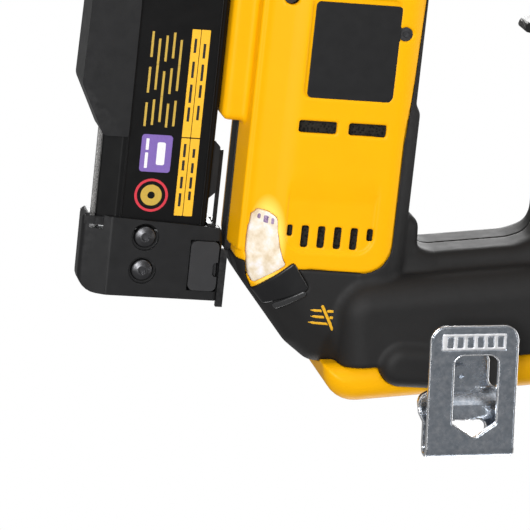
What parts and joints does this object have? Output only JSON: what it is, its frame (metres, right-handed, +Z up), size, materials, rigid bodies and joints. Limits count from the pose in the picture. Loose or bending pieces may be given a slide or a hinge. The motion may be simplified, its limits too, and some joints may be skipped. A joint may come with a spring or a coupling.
{
  "type": "cordless pin nailer",
  "caption": "Cordless gas-spring pin nailer with a D-handle, slide-out magazine, belt hook and lifter-driven blade.",
  "frame": {"origin": "centre of the muzzle hole at the lower face of the no-mar tip", "axes": "+Z up, away from the workpiece along the drive line; -X front, +X rear towards the battery base; -Y the tool's left side"},
  "size_m": [0.2647, 0.1, 0.2479],
  "materials": {
    "yellow_plastic": "satin moulded nylon",
    "black_rubber": "fine-grained soft overmould",
    "black_plastic": "satin moulded plastic",
    "dark_grey_plastic": "smooth satin",
    "grey_plastic": "satin",
    "lens": "frosted clear lens",
    "smoked_window": "smoked",
    "zinc_steel": "zinc-plated",
    "steel": "bright",
    "dark_steel": "black oxide",
    "black_aluminium": "black anodised extrusion",
    "aluminium": "machined casting",
    "brass": "turned",
    "board": "solder mask",
    "copper": "enamelled windings and steel",
    "red_rubber": "polyurethane",
    "lead_jacket": "silicone sleeve"
  },
  "bodies": {
    "tool": {"housing_left": "yellow_plastic", "housing_right": "yellow_plastic", "overmould_left": "black_rubber", "overmould_right": "black_rubber", "belly_strip": "black_rubber", "name_pads": "black_plastic", "head_cap": "black_rubber", "housing_screws": "dark_steel", "work_lights": "lens", "light_boards": "board", "indicator_hoods": "black_plastic", "indicator_windows": "smoked_window", "belt_hook": "zinc_steel", "hook_screw": "zinc_steel", "hook_inserts": "brass", "magazine_body": "black_aluminium", "pin_rail": "steel", "magazine_guard": "black_plastic", "latch_keeper": "black_plastic", "nose_body": "steel", "nose_plate": "steel", "nose_screws": "dark_steel", "trip_spring": "steel", "depth_stud": "steel", "drive_frame": "aluminium", "lifter_bearings": "steel", "bumper": "red_rubber", "pressure_cylinder": "aluminium", "cylinder_cap": "aluminium", "fill_valve": "brass", "motor_stator": "copper", "motor_bearings": "steel", "gearbox": "aluminium", "trigger_pin": "steel", "trigger_switch": "dark_grey_plastic", "control_board": "board", "motor_leads": "lead_jacket", "battery_terminals": "black_plastic", "terminal_blades": "brass"},
    "magazine_slider": {"magazine_slide": "aluminium", "end_cap": "black_plastic", "end_cap_screws": "dark_steel"},
    "latch": {"magazine_latch": "dark_grey_plastic", "latch_arm": "steel"},
    "pusher": {"pusher": "grey_plastic", "pusher_spring": "steel"},
    "contact": {"contact_trip": "zinc_steel", "no_mar_tip": "grey_plastic"},
    "depth_wheel": {"depth_wheel": "black_plastic"},
    "lifter": {"lifter_wheel": "steel"},
    "driver": {"driver_blade": "steel", "piston": "aluminium", "piston_seal": "black_rubber"},
    "rotor": {"motor_rotor": "steel", "cooling_fan": "black_plastic"},
    "trigger": {"trigger": "black_plastic"},
    "lock_off": {"lock_off_button": "black_plastic"}
  },
  "joints": [
    {"name": "lifter_turn", "type": "hinge", "parent": "tool", "child": "lifter", "pos_m": [0, 0.006, 0.112], "axis": [-1, 0, 0], "range_deg": [-300, 0]},
    {"name": "driver_stroke", "type": "slide", "parent": "tool", "child": "driver", "axis": [0, 0, 1], "range_m": [-0.0601, 0.0001]},
    {"name": "rotor_turn", "type": "hinge", "parent": "tool", "child": "rotor", "pos_m": [0.116, 0.006, 0.112], "axis": [-1, 0, 0], "range_deg": [-6002, 2]},
    {"name": "contact_trip_slide", "type": "slide", "parent": "tool", "child": "contact", "axis": [0, 0, 1], "range_m": [0, 0.006], "stiffness_N_per_m": 600, "springref_m": -0.004, "deforming": ["trip_spring"]},
    {"name": "depth_wheel_turn", "type": "hinge", "parent": "tool", "child": "depth_wheel", "pos_m": [-0.014, 0, 0.045], "axis": [0, 0, 1], "range_deg": [-180, 180]},
    {"name": "trigger_pull", "type": "hinge", "parent": "tool", "child": "trigger", "pos_m": [0.049, 0, 0.2155], "axis": [0, -1, 0], "range_deg": [0, 12], "stiffness_Nm_per_rad": 0.8, "springref_deg": -5.73},
    {"name": "lock_off_slide", "type": "slide", "parent": "tool", "child": "lock_off", "axis": [0, 1, 0], "range_m": [0, 0.003]},
    {"name": "magazine_slide_out", "type": "slide", "parent": "tool", "child": "magazine_slider", "axis": [1, 0, 0], "range_m": [0, 0.11]},
    {"name": "latch_press", "type": "slide", "parent": "magazine_slider", "child": "latch", "axis": [0, 1, 0], "range_m": [0, 0.003], "stiffness_N_per_m": 400, "springref_m": -0.003},
    {"name": "pusher_travel", "type": "slide", "parent": "magazine_slider", "child": "pusher", "axis": [1, 0, 0], "range_m": [0, 0.1], "stiffness_N_per_m": 8, "springref_m": -0.12}
  ],
  "couplings": [
    {"joint": "driver_stroke", "follows": "lifter_turn", "m_per_rad": 0.011459},
    {"joint": "rotor_turn", "follows": "lifter_turn", "ratio": 20}
  ]
}
